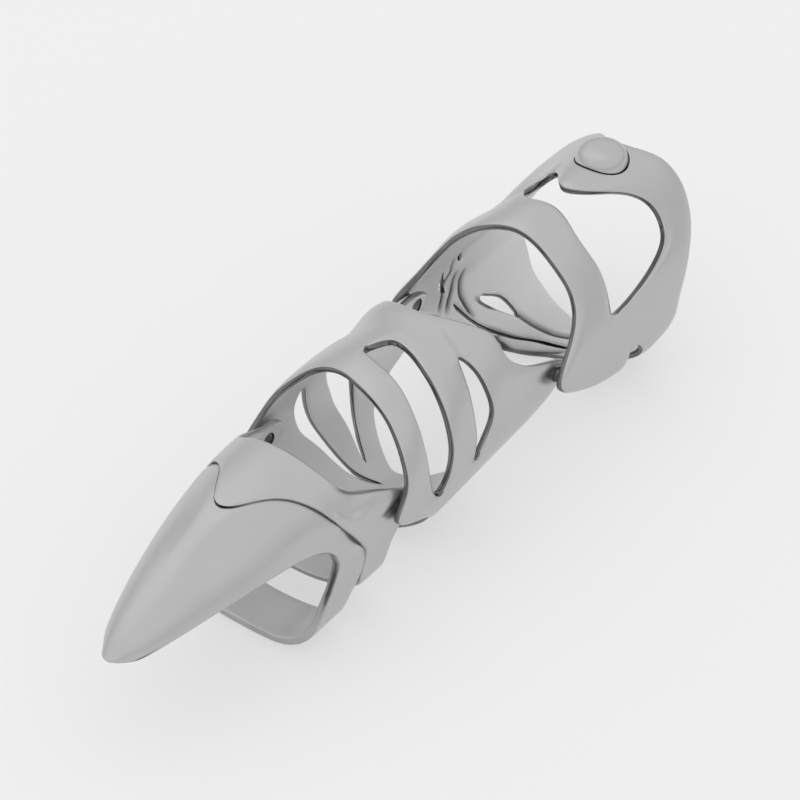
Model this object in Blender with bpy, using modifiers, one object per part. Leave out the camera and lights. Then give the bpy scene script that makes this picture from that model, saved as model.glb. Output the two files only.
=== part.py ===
import bpy
import bmesh
import math

# Everything is in metres, +Z up; the finger lies along Y with its tip towards -Y.
MM = 0.001

# Driving dimensions, in millimetres unless an angle
HINGE_HEIGHT = 11.8          # both hinge lines above the floor
FINGERTIP_Y = -9.25          # hinge line of the fingertip joint
KNUCKLE_Y = 18.45            # datum of the knuckle joint, from which the base shell is measured
KNUCKLE_PIN_Y = 19.05        # hinge line of the knuckle joint
SHELL_THICK = 1.0            # cast wall of the middle and base shells
COLLAR_THICK = 0.8           # wall of the collar plate
CLAW_THICK = 0.95            # wall of the nail plate and pad band
COLLAR_STEP = 1.05           # collar's outer face above the nail plate's outer face
PIN_RADIUS = 0.85
PIN_PLAY = 0.08              # clearance round each pin
RIM_CREASE = 0.75            # how crisp the rims stay when the wall is smoothed
STONE_RADIUS = 2.75
STONE_PLAY = 0.2
STONE_Y = 23.4               # stone's centre behind the knuckle datum
STONE_X = 0.0
STONE_LOW = 11.0             # stone's flat back above the hinge line
STONE_RISE = 2.7             # stone's dome above its flat back
STONE_FULLNESS = 3.0         # power of the dome's curve: 2 is round, more is fuller at the shoulder
SEAT_FLOOR = -0.3            # seat's floor below the stone's flat back
SEAT_TOP = 6.0               # the seat is cut up through the plate to here
CUP_DROP = -0.5              # middle of the lens that closes the seat, below the stone's flat back
CUP_HALF_SIZES = (3.5, 3.9, 1.05)


def clear_scene():
    for item in list(bpy.data.objects):
        bpy.data.objects.remove(item, do_unlink=True)


clear_scene()

# A jeweller's ring in three hinged shells: each is a sheet rolled round the finger and pierced.
# Angles run round the finger from the top, positive towards +X; lengths run from the shell's hinge line.


def lookup(table, at):
    # Smooth value through a table's rows without overshoot between them
    rows = sorted(table)
    if at <= rows[0][0]:
        return rows[0][1]
    if at >= rows[-1][0]:
        return rows[-1][1]
    slopes = []
    for low, high in zip(rows, rows[1:]):
        slopes.append((high[1] - low[1]) / (high[0] - low[0]))
    tangents = [slopes[0]]
    for before, after in zip(slopes, slopes[1:]):
        flat = before * after <= 0.0
        tangents.append(0.0 if flat else 2.0 * before * after / (before + after))
    tangents.append(slopes[-1])
    for index, (low, high) in enumerate(zip(rows, rows[1:])):
        if at <= high[0]:
            span = high[0] - low[0]
            t = (at - low[0]) / span
            start = low[1] * (1.0 + 2.0 * t) * (1.0 - t) ** 2 + tangents[index] * span * t * (1.0 - t) ** 2
            end = high[1] * t * t * (3.0 - 2.0 * t) + tangents[index + 1] * span * t * t * (t - 1.0)
            return start + end
    return rows[-1][1]


def mirrored(half):
    # A table given for the right side, repeated on the left
    return [(-angle, value) for angle, value in half if angle != 0] + list(half)


def around(table):
    # A table for the whole round, so that it joins up with itself at the palm side
    rows = sorted(table)
    before = [(angle - 360.0, value) for angle, value in rows[-3:] if angle < 180.0]
    after = [(angle + 360.0, value) for angle, value in rows[:3] if angle > -180.0]
    return before + rows + after


def bump(distance, reach):
    return math.exp(-(distance / reach) ** 2)


def new_object(name, mesh, collection):
    item = bpy.data.objects.new(name, mesh)
    collection.objects.link(item)
    return item


def new_collection(name):
    made = bpy.data.collections.new(name)
    bpy.context.scene.collection.children.link(made)
    return made


def metal(name, colour, roughness, metallic=1.0):
    made = bpy.data.materials.new(name)
    made.use_nodes = True
    shader = made.node_tree.nodes["Principled BSDF"]
    shader.inputs["Base Color"].default_value = (colour[0], colour[1], colour[2], 1.0)
    shader.inputs["Roughness"].default_value = roughness
    shader.inputs["Metallic"].default_value = metallic
    return made


def sheet_from_rows(name, columns, rows, filled, place, closed):
    # rows: a length for each angle, front to rear; faces stand between neighbours where filled says so
    work = bmesh.new()
    grid = []
    for angle in columns:
        grid.append([work.verts.new(place(angle, row(angle))) for row in rows])
    count = len(columns) if closed else len(columns) - 1
    for index in range(count):
        here = columns[index]
        there = columns[(index + 1) % len(columns)]
        if there < here:
            there += 360.0
        middle = (here + there) / 2.0
        for gap in range(len(rows) - 1):
            if filled(gap, middle):
                near = grid[index]
                far = grid[(index + 1) % len(columns)]
                work.faces.new((near[gap], far[gap], far[gap + 1], near[gap + 1]))
    tidy_sheet(work)
    mesh = bpy.data.meshes.new(name)
    work.to_mesh(mesh)
    work.free()
    return mesh


def tidy_sheet(work):
    work.normal_update()
    loose = [vert for vert in work.verts if not vert.link_faces]
    bmesh.ops.delete(work, geom=loose, context="VERTS")
    bmesh.ops.remove_doubles(work, verts=work.verts, dist=0.02 * MM)
    bmesh.ops.dissolve_degenerate(work, dist=0.01 * MM, edges=work.edges)
    bmesh.ops.recalc_face_normals(work, faces=work.faces)


def turn_outward(mesh, centre):
    # The sheet's normals face away from the finger's axis
    outward = 0.0
    for face in mesh.polygons:
        away = face.center.copy()
        away.y = 0.0
        away.z -= centre
        outward += face.normal.dot(away) * face.area
    if outward < 0.0:
        mesh.flip_normals()


def thicken(item, thick, levels=1):
    wall = item.modifiers.new("Wall", "SOLIDIFY")
    wall.thickness = thick * MM
    wall.offset = -1.0
    wall.use_even_offset = True
    wall.edge_crease_inner = RIM_CREASE
    wall.edge_crease_outer = RIM_CREASE
    smooth = item.modifiers.new("Form", "SUBSURF")
    smooth.levels = levels
    smooth.render_levels = levels


def shade_round(item):
    for face in item.data.polygons:
        face.use_smooth = True


def cut(item, tool):
    joint = item.modifiers.new("Cut " + tool.name, "BOOLEAN")
    joint.operation = "DIFFERENCE"
    joint.solver = "EXACT"
    joint.object = tool


def join(item, tool):
    weld = item.modifiers.new("Join " + tool.name, "BOOLEAN")
    weld.operation = "UNION"
    weld.solver = "EXACT"
    weld.object = tool


def cylinder_mesh(name, radius, start, end, axis, segments=20, bevel=0.0):
    # A round bar between two places along X (axis 0) or Z (axis 2), about the mesh's own origin
    work = bmesh.new()
    bmesh.ops.create_cone(work, cap_ends=True, segments=segments, radius1=radius * MM, radius2=radius * MM,
                          depth=(end - start) * MM)
    if bevel > 0.0:
        ends = [edge for edge in work.edges if abs(edge.verts[0].co.z - edge.verts[1].co.z) < 1e-7]
        bmesh.ops.bevel(work, geom=ends, offset=bevel * MM, segments=1, affect="EDGES")
    for vert in work.verts:
        along = vert.co.z + (start + end) / 2.0 * MM
        if axis == 0:
            vert.co = (along, vert.co.x, vert.co.y)
        else:
            vert.co.z = along
    work.normal_update()
    bmesh.ops.recalc_face_normals(work, faces=work.faces)
    mesh = bpy.data.meshes.new(name)
    work.to_mesh(mesh)
    work.free()
    return mesh


def lens_mesh(name, half_sizes):
    work = bmesh.new()
    bmesh.ops.create_uvsphere(work, u_segments=24, v_segments=10, radius=MM)
    for vert in work.verts:
        vert.co = [value * size for value, size in zip(vert.co, half_sizes)]
    work.normal_update()
    mesh = bpy.data.meshes.new(name)
    work.to_mesh(mesh)
    work.free()
    return mesh


parts = new_collection("knuckle_armor_ring")
cutters = new_collection("cutters")
silver = metal("satin_silver", (0.62, 0.62, 0.63), 0.3)
polished = metal("polished_silver", (0.68, 0.68, 0.69), 0.18)
pin_metal = metal("pin_silver", (0.55, 0.55, 0.56), 0.35)

# Middle shell: two arch bands over open crescents, a rear plate, slits down the left wall
# Columns of each table: angle round the finger, length behind the fingertip hinge
MIDDLE_FRONT = around([
    (-180, 5.6), (-150, 5.3), (-130, 4.4), (-120, 3.2), (-114, 2.2), (-108, 1.0), (-101, -0.7), (-96, -1.9),
    (-90, -2.3), (-84, -1.5), (-79, -0.4), (-72, 0.6), (-65, 1.0), (-53, 1.9), (-45, 3.2), (-36, 4.5),
    (-22, 4.7), (-13, 4.5), (0, 4.0), (13, 3.4), (37, 2.4), (53, 1.5), (65, 1.0), (72, 0.6),
    (79, -0.4), (84, -1.5), (90, -2.3), (96, -1.4), (101, 0.2), (108, 2.6), (114, 4.4), (120, 5.3),
    (130, 5.6), (150, 5.7), (180, 5.6)])
MIDDLE_REAR = around([
    (-172, 13.3), (-157, 14.5), (-140, 16.1), (-129, 17.3), (-120, 21.2), (-116, 25.2), (-109, 27.2),
    (-103, 28.8), (-96, 30.2), (-90, 30.7), (-84, 30.0), (-79, 28.0), (-72, 25.2), (-64, 22.8), (-55, 20.8),
    (-45, 19.6), (-34, 18.9), (-22, 18.5), (-7, 18.2), (5, 19.0), (16, 19.9), (27, 21.1), (37, 22.0),
    (47, 21.7), (56, 21.6), (64, 22.6), (72, 25.2), (79, 28.0), (84, 30.0), (90, 30.7), (96, 30.2),
    (103, 28.8), (109, 27.2), (116, 25.0), (120, 21.6), (129, 18.2), (140, 16.7), (158, 15.2), (168, 14.2),
    (180, 13.1)])
FRONT_SLOT_PLACE = around([
    (-175, 11.4), (-168, 10.6), (-158, 9.7), (-145, 9.2), (-133, 8.95), (-120, 8.2), (-111, 7.65),
    (-101, 7.5), (-94, 7.55), (-87, 7.9), (-80, 8.2), (-66, 8.2), (-50, 8.3), (-30, 8.5), (-14, 8.9),
    (-8, 9.9), (-2, 10.25), (13, 9.65), (24, 8.95), (35, 8.3), (47, 7.6), (60, 6.95), (75, 6.25),
    (86, 5.8), (93, 5.6), (100, 5.5), (112, 6.6), (130, 7.9), (150, 9.2), (165, 10.4), (180, 11.2)])
FRONT_SLOT_WIDTH = around([
    (-175, 0), (-168, 0.45), (-158, 0.6), (-145, 1.0), (-133, 1.1), (-120, 1.8), (-111, 2.2), (-101, 2.2),
    (-94, 2.1), (-87, 1.4), (-80, 0), (-14, 0), (-8, 3.0), (-2, 4.6), (13, 4.3), (24, 4.1), (35, 4.3),
    (47, 4.4), (60, 4.5), (75, 4.3), (86, 3.4), (93, 2.2), (100, 0), (180, 0)])
REAR_SLOT_PLACE = around([
    (-168, 12.1), (-158, 11.7), (-150, 12.2), (-140, 12.9), (-129, 13.5), (-118, 13.85), (-109, 14.05),
    (-101, 14.2), (-92, 14.25), (-82, 14.2), (-70, 14.0), (-60, 13.6), (-50, 13.8), (-30, 14.4), (0, 15.0),
    (15, 15.5), (31, 16.0), (37, 16.1), (47, 15.95), (56, 15.7), (68, 15.3), (75, 15.05), (84, 14.45),
    (93, 13.35), (100, 12.2), (120, 11.8), (150, 11.9), (165, 12.1), (180, 12.2)])
REAR_SLOT_WIDTH = around([
    (-158, 0), (-150, 0.6), (-140, 0.7), (-129, 1.1), (-118, 2.2), (-109, 3.0), (-101, 3.4), (-92, 4.0),
    (-82, 4.2), (-70, 3.0), (-60, 0), (0, 0), (31, 0), (37, 1.0), (47, 2.0), (56, 2.6), (68, 3.3),
    (75, 3.5), (84, 3.0), (93, 1.8), (100, 0), (180, 0)])
MIDDLE_RADIUS = [(-4, 10.9), (2, 11.05), (8, 11.2), (12, 10.95), (15, 10.45), (18, 10.45), (24, 10.4), (31, 10.4)]
MIDDLE_COLUMNS = [
    -175, -168, -158, -150, -140, -129, -120, -115, -109, -101, -94, -90, -86, -80, -70, -60, -50, -36,
    -22, -14, -8, -2, 13, 24, 31, 37, 47, 56, 68, 75, 80, 85, 90, 94, 100, 105, 110, 115, 120, 126,
    133, 145, 158, 170]


def middle_place(angle, length):
    radius = lookup(MIDDLE_RADIUS, length)
    radius += 0.5 * bump(angle + 42.0, 24.0) * bump(length - 18.0, 2.0)
    radius += 0.7 * bump(angle + 52.0, 18.0) * bump(length - 18.3, 2.0)
    radius -= 0.8 * bump(angle + 56.0, 16.0) * bump(length - 23.6, 2.2)
    radius -= 0.3 * bump(angle + 55.0, 14.0) * bump(length - 14.8, 1.6)
    radius += 0.15 * bump(abs(angle) - 90.0, 14.0) * bump(length + 1.0, 4.0)
    radius += 0.35 * bump(angle + 106.0, 12.0) * bump(length, 3.0)
    radius += 0.6 * bump(180.0 - abs(angle), 26.0)
    turned = math.radians(angle)
    return (radius * math.sin(turned) * MM, (FINGERTIP_Y + length) * MM,
            (HINGE_HEIGHT + radius * math.cos(turned)) * MM)


def slot_side(place, width, side):
    return lambda angle: lookup(place, angle) + side * lookup(width, angle) / 2.0


MIDDLE_ROWS = [
    lambda angle: lookup(MIDDLE_FRONT, angle),
    slot_side(FRONT_SLOT_PLACE, FRONT_SLOT_WIDTH, -1),
    slot_side(FRONT_SLOT_PLACE, FRONT_SLOT_WIDTH, 1),
    slot_side(REAR_SLOT_PLACE, REAR_SLOT_WIDTH, -1),
    slot_side(REAR_SLOT_PLACE, REAR_SLOT_WIDTH, 1),
    lambda angle: lookup(MIDDLE_REAR, angle)]


def solid_band(gap, angle):
    # Bands stand at even places, the open crescents between them
    return gap % 2 == 0


def rolled_shell(name, columns, rows, place, thick, material):
    mesh = sheet_from_rows(name, columns, rows, solid_band, place, True)
    turn_outward(mesh, HINGE_HEIGHT * MM)
    mesh.materials.append(material)
    item = new_object(name, mesh, parts)
    thicken(item, thick)
    shade_round(item)
    return item


middle = rolled_shell("middle_shell", MIDDLE_COLUMNS, MIDDLE_ROWS, middle_place, SHELL_THICK, silver)

# Base shell: leaning arch and hinge plates in front, full band behind, tendon straps below
# Columns of each table: angle round the finger, length behind the knuckle hinge
BASE_FRONT = around([
    (-174, 12.4), (-166, 11.6), (-158, 11.0), (-150, 10.2), (-139, 8.8), (-128, 7.6), (-120, 6.4), (-114, 5.0),
    (-109, 3.6), (-103, 1.8), (-96, -0.6), (-90, -1.5), (-83, -0.3), (-76, 2.2), (-68, 4.0), (-60, 5.0),
    (-52, 5.4), (-43, 5.4), (-24, 5.8), (-10, 6.2), (0, 6.5), (10, 6.6), (19, 6.4), (34, 6.3), (44, 6.5),
    (52, 6.3), (60, 5.7), (68, 4.3), (76, 2.2), (83, -0.2), (90, -1.4), (96, -0.5), (103, 2.0), (109, 4.6),
    (114, 7.4), (118, 9.8), (124, 10.9), (135, 12.0), (150, 13.4), (160, 14.0), (170, 14.0), (180, 13.1)])
BASE_REAR = around([
    (-178, 19.8), (-167, 20.6), (-157, 21.1), (-147, 21.7), (-139, 21.9), (-132, 22.5), (-121, 23.7),
    (-110, 23.8), (-100, 24.0), (-94, 24.4), (-77, 26.8), (-62, 28.8), (-43, 29.8), (-27, 29.6), (-12, 27.8),
    (0, 27.0), (14, 28.4), (27, 29.8), (43, 30.0), (62, 29.1), (77, 27.2), (94, 24.4), (104, 22.8),
    (118, 21.9), (131, 21.3), (150, 20.5)])
ARCH_SLOT_PLACE = around([
    (-171, 14.4), (-161, 13.2), (-150, 11.9), (-139, 10.4), (-125, 9.4), (-118, 9.1), (-112, 8.6),
    (-104, 7.9), (-97, 8.3), (-90, 9.3), (-80, 10.2), (-68, 12.5), (-46, 15.8), (-30, 17.2), (-23, 17.0),
    (-13, 15.3), (-4, 14.1), (4, 14.3), (14, 15.2), (24, 16.5), (36, 17.55), (48, 18.05), (60, 17.7),
    (68, 16.9), (76, 14.2), (80, 10.6), (90, 11.4), (104, 13.2), (110, 13.7), (114, 14.0), (118, 14.1),
    (124, 14.2), (135, 14.7), (150, 15.4), (160, 15.7), (170, 15.5), (178, 15.1)])
ARCH_SLOT_WIDTH = around([
    (-171, 0.4), (-161, 0.6), (-150, 0.6), (-139, 0.6), (-125, 0.5), (-118, 0), (-112, 0), (-104, 1.3),
    (-97, 0), (-80, 0), (-27, 0), (-23, 6.2), (-13, 6.2), (-4, 3.4), (4, 3.2), (14, 5.6), (24, 9.8),
    (36, 12.1), (48, 12.4), (60, 12.4), (68, 11.8), (76, 7.8), (80, 0), (105, 0), (110, 1.8), (114, 2.6),
    (118, 2.7), (124, 2.6), (135, 2.2), (150, 1.4), (160, 0.9), (170, 0.4), (178, 0)])
EYE_PLACE = around([
    (-170, 16.8), (-158, 16.2), (-152, 15.9), (-145, 15.6), (-139, 15.2), (-134, 14.7), (-130, 13.7),
    (-126, 13.2), (-112, 12.4), (-104, 11.9), (-99, 11.6), (-94, 11.3), (-89, 11.7), (-84, 16.0),
    (-80, 20.0), (-68, 24.4), (-46, 26.6), (-28, 25.6), (-12, 23.0), (0, 21.6), (12, 23.0), (28, 25.6),
    (46, 26.6), (68, 24.4), (80, 20.0), (90, 18.0), (104, 17.6), (118, 17.8), (150, 17.8), (180, 17.4)])
EYE_WIDTH = around([
    (-170, 0), (-152, 0), (-145, 1.1), (-139, 1.9), (-134, 2.2), (-130, 1.3), (-126, 0), (-99, 0),
    (-94, 0.9), (-89, 0), (0, 0), (170, 0)])
BASE_RADIUS = [
    (0, 12.7), (12, 12.4), (24, 11.9), (40, 11.25), (57, 10.9), (75, 11.45), (90, 12.2), (103, 12.6),
    (112, 13.1), (118, 13.25), (128, 13.0), (140, 12.8), (150, 12.7), (158, 12.6)]
# Columns: length, how far the left flank bulges there
BASE_LEFT_FLANK = [
    (-3, -0.8), (-1, -0.55), (0, -0.45), (2, -0.1), (4, 0.25), (6, 0.4), (8, 0.8), (10, 0.85), (12, 0.6),
    (14, -0.2), (16, -1.3), (18, -1.4), (20, -0.4), (22, 0.4), (24, 0.65), (26, 0.7), (28, 0.55), (30, 0.47)]
BASE_COLUMNS = [
    -178, -170, -161, -152, -145, -139, -134, -130, -126, -118, -112, -108, -104, -99, -94, -89, -84, -80,
    -76, -68, -58, -46, -34, -27, -23, -13, -4, 4, 14, 24, 36, 48, 60, 68, 76, 80, 85, 90, 97, 104, 110,
    114, 118, 124, 135, 148, 160, 170]


def base_place(angle, length):
    reach = abs(angle if angle <= 180.0 else angle - 360.0)
    turned = math.radians(reach)
    radius = lookup(BASE_RADIUS, reach)
    if reach > 158.0:
        radius = HINGE_HEIGHT / -math.cos(turned)
    radius -= 0.05 * max(0.0, length - 12.0) * min(1.0, max(0.0, (112.0 - reach) / 24.0))
    signed = angle if angle <= 180.0 else angle - 360.0
    radius += lookup(BASE_LEFT_FLANK, length) * bump(signed + 54.0, 24.0)
    radius += 0.6 * bump(signed - 122.0, 16.0) * bump(length - 17.0, 4.0)
    radius -= 0.55 * bump(signed + 22.0, 26.0) * min(1.0, max(0.0, (length - 15.0) / 6.0))
    radius += 0.35 * bump(signed - 2.0, 17.0) * bump(length - STONE_Y, 4.2)
    side = math.copysign(1.0, signed)
    return (side * radius * math.sin(turned) * MM, (KNUCKLE_Y + length) * MM,
            (HINGE_HEIGHT + radius * math.cos(turned)) * MM)


BASE_ROWS = [
    lambda angle: lookup(BASE_FRONT, angle),
    slot_side(ARCH_SLOT_PLACE, ARCH_SLOT_WIDTH, -1),
    slot_side(ARCH_SLOT_PLACE, ARCH_SLOT_WIDTH, 1),
    slot_side(EYE_PLACE, EYE_WIDTH, -1),
    slot_side(EYE_PLACE, EYE_WIDTH, 1),
    lambda angle: lookup(BASE_REAR, angle)]

base = rolled_shell("base_shell", BASE_COLUMNS, BASE_ROWS, base_place, SHELL_THICK, silver)

# Nail plate: sections along the finger, each an arc between two side edges
# Columns: length from the fingertip hinge, half width, side edge height, crown height
NAIL_SECTIONS = [
    (-39.3, 1.6, 0.75, 1.55), (-37.6, 2.5, 1.0, 2.8), (-35.0, 3.45, 1.5, 4.2), (-30.0, 5.05, 2.3, 6.3),
    (-25.0, 6.35, 2.9, 7.7), (-20.0, 7.5, 3.2, 8.7), (-15.0, 8.05, 3.2, 9.0), (-12.0, 8.3, 3.0, 8.9),
    (-8.0, 8.6, 2.6, 8.8)]
NAIL_SIDE = 75.0             # angle of the side edges from the crown
NAIL_STATIONS = [-39.3, -37.6, -35.0, -30.0, -25.0, -20.0, -15.6, -11.2, -8.6]    # lengths of the rows
NAIL_SINK = {-11.2: 0.2, -8.6: 0.45}    # how far these rows sink to pass inside the collar
LEFT_SINK = {-15.6: 0.35, -11.2: 0.95, -8.6: 0.6}    # the further sink on the left, where the collar lies flush
LEFT_FLUSH = -66.0           # angle at which the collar lies closest to the nail plate
STRAP_SINK = 0.35            # how far the straps' rear edges sink to pass inside the collar
SIDE_DROP = {-15.6: 0.3, -11.2: 1.5, -8.6: 1.9}    # how far the side edges of these rows hang
TIP_BOW = {-39.3: 1.9, -37.6: 0.8}    # how far these rows curve back at their side edges


def nail_value(column, length):
    return lookup([(row[0], row[column]) for row in NAIL_SECTIONS], length)


def nail_point(angle, length, extra=0.0):
    # A point of the nail plate's arc, raised by extra
    half_width = nail_value(1, length)
    edge = nail_value(2, length)
    crown = nail_value(3, length)
    across = half_width / math.sin(math.radians(NAIL_SIDE)) + extra
    tall = (crown - edge) / (1.0 - math.cos(math.radians(NAIL_SIDE)))
    turned = math.radians(angle)
    return (across * math.sin(turned), crown - tall + (tall + extra) * math.cos(turned))


# Pad band below the fingertip and the two straps up to the nail plate
# Columns: angle, front, rear, radius
PAD_SECTIONS = [
    (75, -11.2, -8.6, 8.95), (90, -10.8, -6.4, 9.25), (100, -11.5, -6.1, 9.45), (106, -12.2, -6.4, 9.75),
    (112, -12.9, -7.3, 10.1), (118, -13.6, -8.7, 10.65), (126, -14.5, -9.6, 11.6), (134, -15.1, -9.6, 12.4),
    (142, -15.5, -9.4, 12.7), (150, -15.7, -9.3, 12.65), (158, -15.8, -9.2, 12.5), (168, -15.8, -9.3, 12.06),
    (180, -15.8, -9.4, 11.8)]


def pad_value(column, angle):
    return lookup([(row[0], row[column]) for row in PAD_SECTIONS], angle)


def claw_mesh():
    work = bmesh.new()
    across = [NAIL_SIDE * step / 5.0 for step in range(-5, 6)]
    nail = []
    for length in NAIL_STATIONS:
        row = []
        for angle in across:
            sink = NAIL_SINK.get(length, 0.0) + LEFT_SINK.get(length, 0.0) * bump(angle - LEFT_FLUSH, 20.0)
            x, z = nail_point(angle, length, -sink)
            z -= SIDE_DROP.get(length, 0.0) * max(0.0, (abs(angle) - 60.0) / 15.0)
            back = TIP_BOW.get(length, 0.0) * (angle / NAIL_SIDE) ** 2
            row.append(work.verts.new((x * MM, (FINGERTIP_Y + length + back) * MM, (HINGE_HEIGHT + z) * MM)))
        nail.append(row)
    for near, far in zip(nail, nail[1:]):
        for column in range(len(across) - 1):
            work.faces.new((near[column], near[column + 1], far[column + 1], far[column]))
    ring = {}
    below = [90, 100, 106, 112, 118, 126, 134, 142, 150, 158, 168, 180]
    for angle in below:
        radius = pad_value(3, angle)
        x = radius * math.sin(math.radians(angle))
        z = radius * math.cos(math.radians(angle))
        for side in (1, -1) if angle < 180 else (1,):
            ring[side * angle] = []
            for column, scale in ((1, 1.0), (2, 1.0 - STRAP_SINK * bump(angle - 95.0, 16.0) / radius)):
                ring[side * angle].append(work.verts.new((
                    side * x * scale * MM, (FINGERTIP_Y + pad_value(column, angle)) * MM,
                    (HINGE_HEIGHT + z * scale) * MM)))
    ring[75] = [nail[-2][-1], nail[-1][-1]]
    ring[-75] = [nail[-2][0], nail[-1][0]]
    ring[-180] = ring[180]
    for side in (1, -1):
        steps = [75] + below
        for here, there in zip(steps, steps[1:]):
            near = ring[side * here]
            far = ring[side * there]
            work.faces.new((near[0], far[0], far[1], near[1]))
    tidy_sheet(work)
    mesh = bpy.data.meshes.new("claw")
    work.to_mesh(mesh)
    work.free()
    return mesh


claw_data = claw_mesh()
turn_outward(claw_data, HINGE_HEIGHT * MM)
claw_data.materials.append(silver)
claw = new_object("claw", claw_data, parts)
thicken(claw, CLAW_THICK)
shade_round(claw)

# Collar plate: a saddle over the nail plate's root with two hinge ears and a strap below
COLLAR_FRONT = [
    (-180, -7.3), (-165, -7.3), (-145, -7.2), (-128, -7.4), (-118, -8.0), (-112, -7.9), (-106, -7.3),
    (-99, -7.2), (-86, -8.6), (-73, -10.8), (-65, -12.3), (-57, -12.9), (-50, -12.8), (-43, -12.6), (-31, -13.6),
    (-22, -15.3), (-15, -17.4), (-8, -19.2), (0, -19.9), (8, -19.2), (15, -17.4), (22, -15.3), (31, -13.5), (43, -12.1),
    (57, -10.8), (73, -9.0), (86, -7.7), (99, -6.7), (106, -7.1), (112, -7.9), (118, -8.0), (128, -7.4),
    (145, -7.2), (165, -7.3), (180, -7.3)]
COLLAR_REAR = mirrored([
    (0, -8.6), (15, -8.6), (31, -8.4), (43, -7.8), (50, -7.1), (57, -5.3), (65, -2.6), (73, -0.2),
    (80, 1.9), (86, 2.8), (90, 3.0), (95, 2.6), (101, 0.8), (106, -1.2), (112, -3.2), (118, -3.8),
    (128, -3.8), (145, -3.4), (165, -3.1), (180, -3.0)])
# Columns: angle, radius of the collar's side and strap
COLLAR_SIDE = [
    (57, 9.5), (65, 9.65), (73, 9.95), (86, 10.3), (99, 10.4), (108, 10.7), (116, 11.4), (122, 11.6),
    (130, 11.25), (145, 10.4), (160, 9.75), (180, 9.4)]
EAR_FACE = 9.5               # the ears' outer face from the middle plane
COLLAR_COLUMNS = [
    0, 8, 15, 22, 31, 43, 50, 57, 65, 73, 80, 86, 90, 95, 101, 106, 112, 118, 128, 145, 162, 180,
    198, 215, 232, 242, 248, 254, 259, 265, 270, 274, 280, 287, 295, 303, 310, 317, 329, 338, 345, 352]


def collar_place(angle, length):
    signed = angle if angle <= 180.0 else angle - 360.0
    reach = abs(signed)
    flush = 0.75 * bump(signed - LEFT_FLUSH, 16.0) * min(1.0, max(0.4, (-8.0 - length) / 4.0))
    over_x, over_z = nail_point(min(reach, NAIL_SIDE), min(length, -9.0), COLLAR_STEP - flush)
    # The shoulders draw in towards the ears
    radius = lookup(COLLAR_SIDE, reach) - flush - 0.09 * max(0.0, length + 9.0) * bump(reach - 62.0, 14.0)
    side_x = radius * math.sin(math.radians(reach))
    side_z = radius * math.cos(math.radians(reach))
    blend = min(1.0, max(0.0, (reach - 50.0) / 25.0))
    blend = blend * blend * (3.0 - 2.0 * blend)
    x = over_x + (side_x - over_x) * blend
    z = over_z + (side_z - over_z) * blend
    ear = min(1.0, max(0.0, (length + 6.0) / 3.5)) * bump(max(0.0, reach - 95.0), 40.0)
    x = min(x, EAR_FACE + 2.0 * (1.0 - ear)) if reach > 57.0 else x
    return (math.copysign(x, signed) * MM, (FINGERTIP_Y + length) * MM, (HINGE_HEIGHT + z) * MM)


def signed_angle(angle):
    return angle if angle <= 180.0 else angle - 360.0


COLLAR_ROWS = [
    lambda angle: lookup(COLLAR_FRONT, signed_angle(angle)),
    lambda angle: 0.5 * (lookup(COLLAR_FRONT, signed_angle(angle)) + lookup(COLLAR_REAR, signed_angle(angle))),
    lambda angle: lookup(COLLAR_REAR, signed_angle(angle))]

collar_data = sheet_from_rows("tip_collar", COLLAR_COLUMNS, COLLAR_ROWS, lambda gap, angle: True, collar_place, True)
turn_outward(collar_data, HINGE_HEIGHT * MM)
collar_data.materials.append(silver)
collar = new_object("tip_collar", collar_data, parts)
thicken(collar, COLLAR_THICK)
shade_round(collar)

# Hinge pins: each stands in the inner ear and in a blind hole of the outer plate
# Columns: hinge line, pin's inner end, pin's outer end from the middle plane
PINS = {"fingertip": (FINGERTIP_Y, 8.8, 10.8), "knuckle": (KNUCKLE_PIN_Y, 9.4, 11.85)}
INNER = {"fingertip": collar, "knuckle": middle}
OUTER = {"fingertip": middle, "knuckle": base}


def place_at(item, y):
    item.location = (0.0, y * MM, HINGE_HEIGHT * MM)


for hinge, (line, inner_end, outer_end) in PINS.items():
    for side, word in ((1, "right"), (-1, "left")):
        ends = sorted((side * inner_end, side * outer_end))
        pin_data = cylinder_mesh("pin", PIN_RADIUS, ends[0], ends[1], 0, segments=20, bevel=0.15)
        pin_data.materials.append(pin_metal)
        pin = new_object(hinge + "_pin_" + word, pin_data, parts)
        place_at(pin, line)
        shade_round(pin)
        bore_ends = sorted((side * (inner_end - 2.0), side * (outer_end + PIN_PLAY)))
        bore = new_object(hinge + "_bore_" + word, cylinder_mesh(
            "bore", PIN_RADIUS + PIN_PLAY, bore_ends[0], bore_ends[1], 0, segments=20), cutters)
        place_at(bore, line)
        cut(INNER[hinge], bore)
        cut(OUTER[hinge], bore)

# Stone: a low dome with a flat back, in a round seat in the base shell's rear band, closed by a cup below
STONE_PLACE = (STONE_X * MM, (KNUCKLE_Y + STONE_Y) * MM, (HINGE_HEIGHT + STONE_LOW) * MM)
SEAT_RADIUS = STONE_RADIUS + STONE_PLAY
cup = new_object("stone_cup", lens_mesh("stone_cup", CUP_HALF_SIZES), cutters)
cup.location = (STONE_PLACE[0], STONE_PLACE[1], STONE_PLACE[2] + CUP_DROP * MM)
join(base, cup)
seat = new_object("stone_seat", cylinder_mesh("stone_seat", SEAT_RADIUS, SEAT_FLOOR, SEAT_TOP, 2, segments=32), cutters)
seat.location = STONE_PLACE
cut(base, seat)


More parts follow.
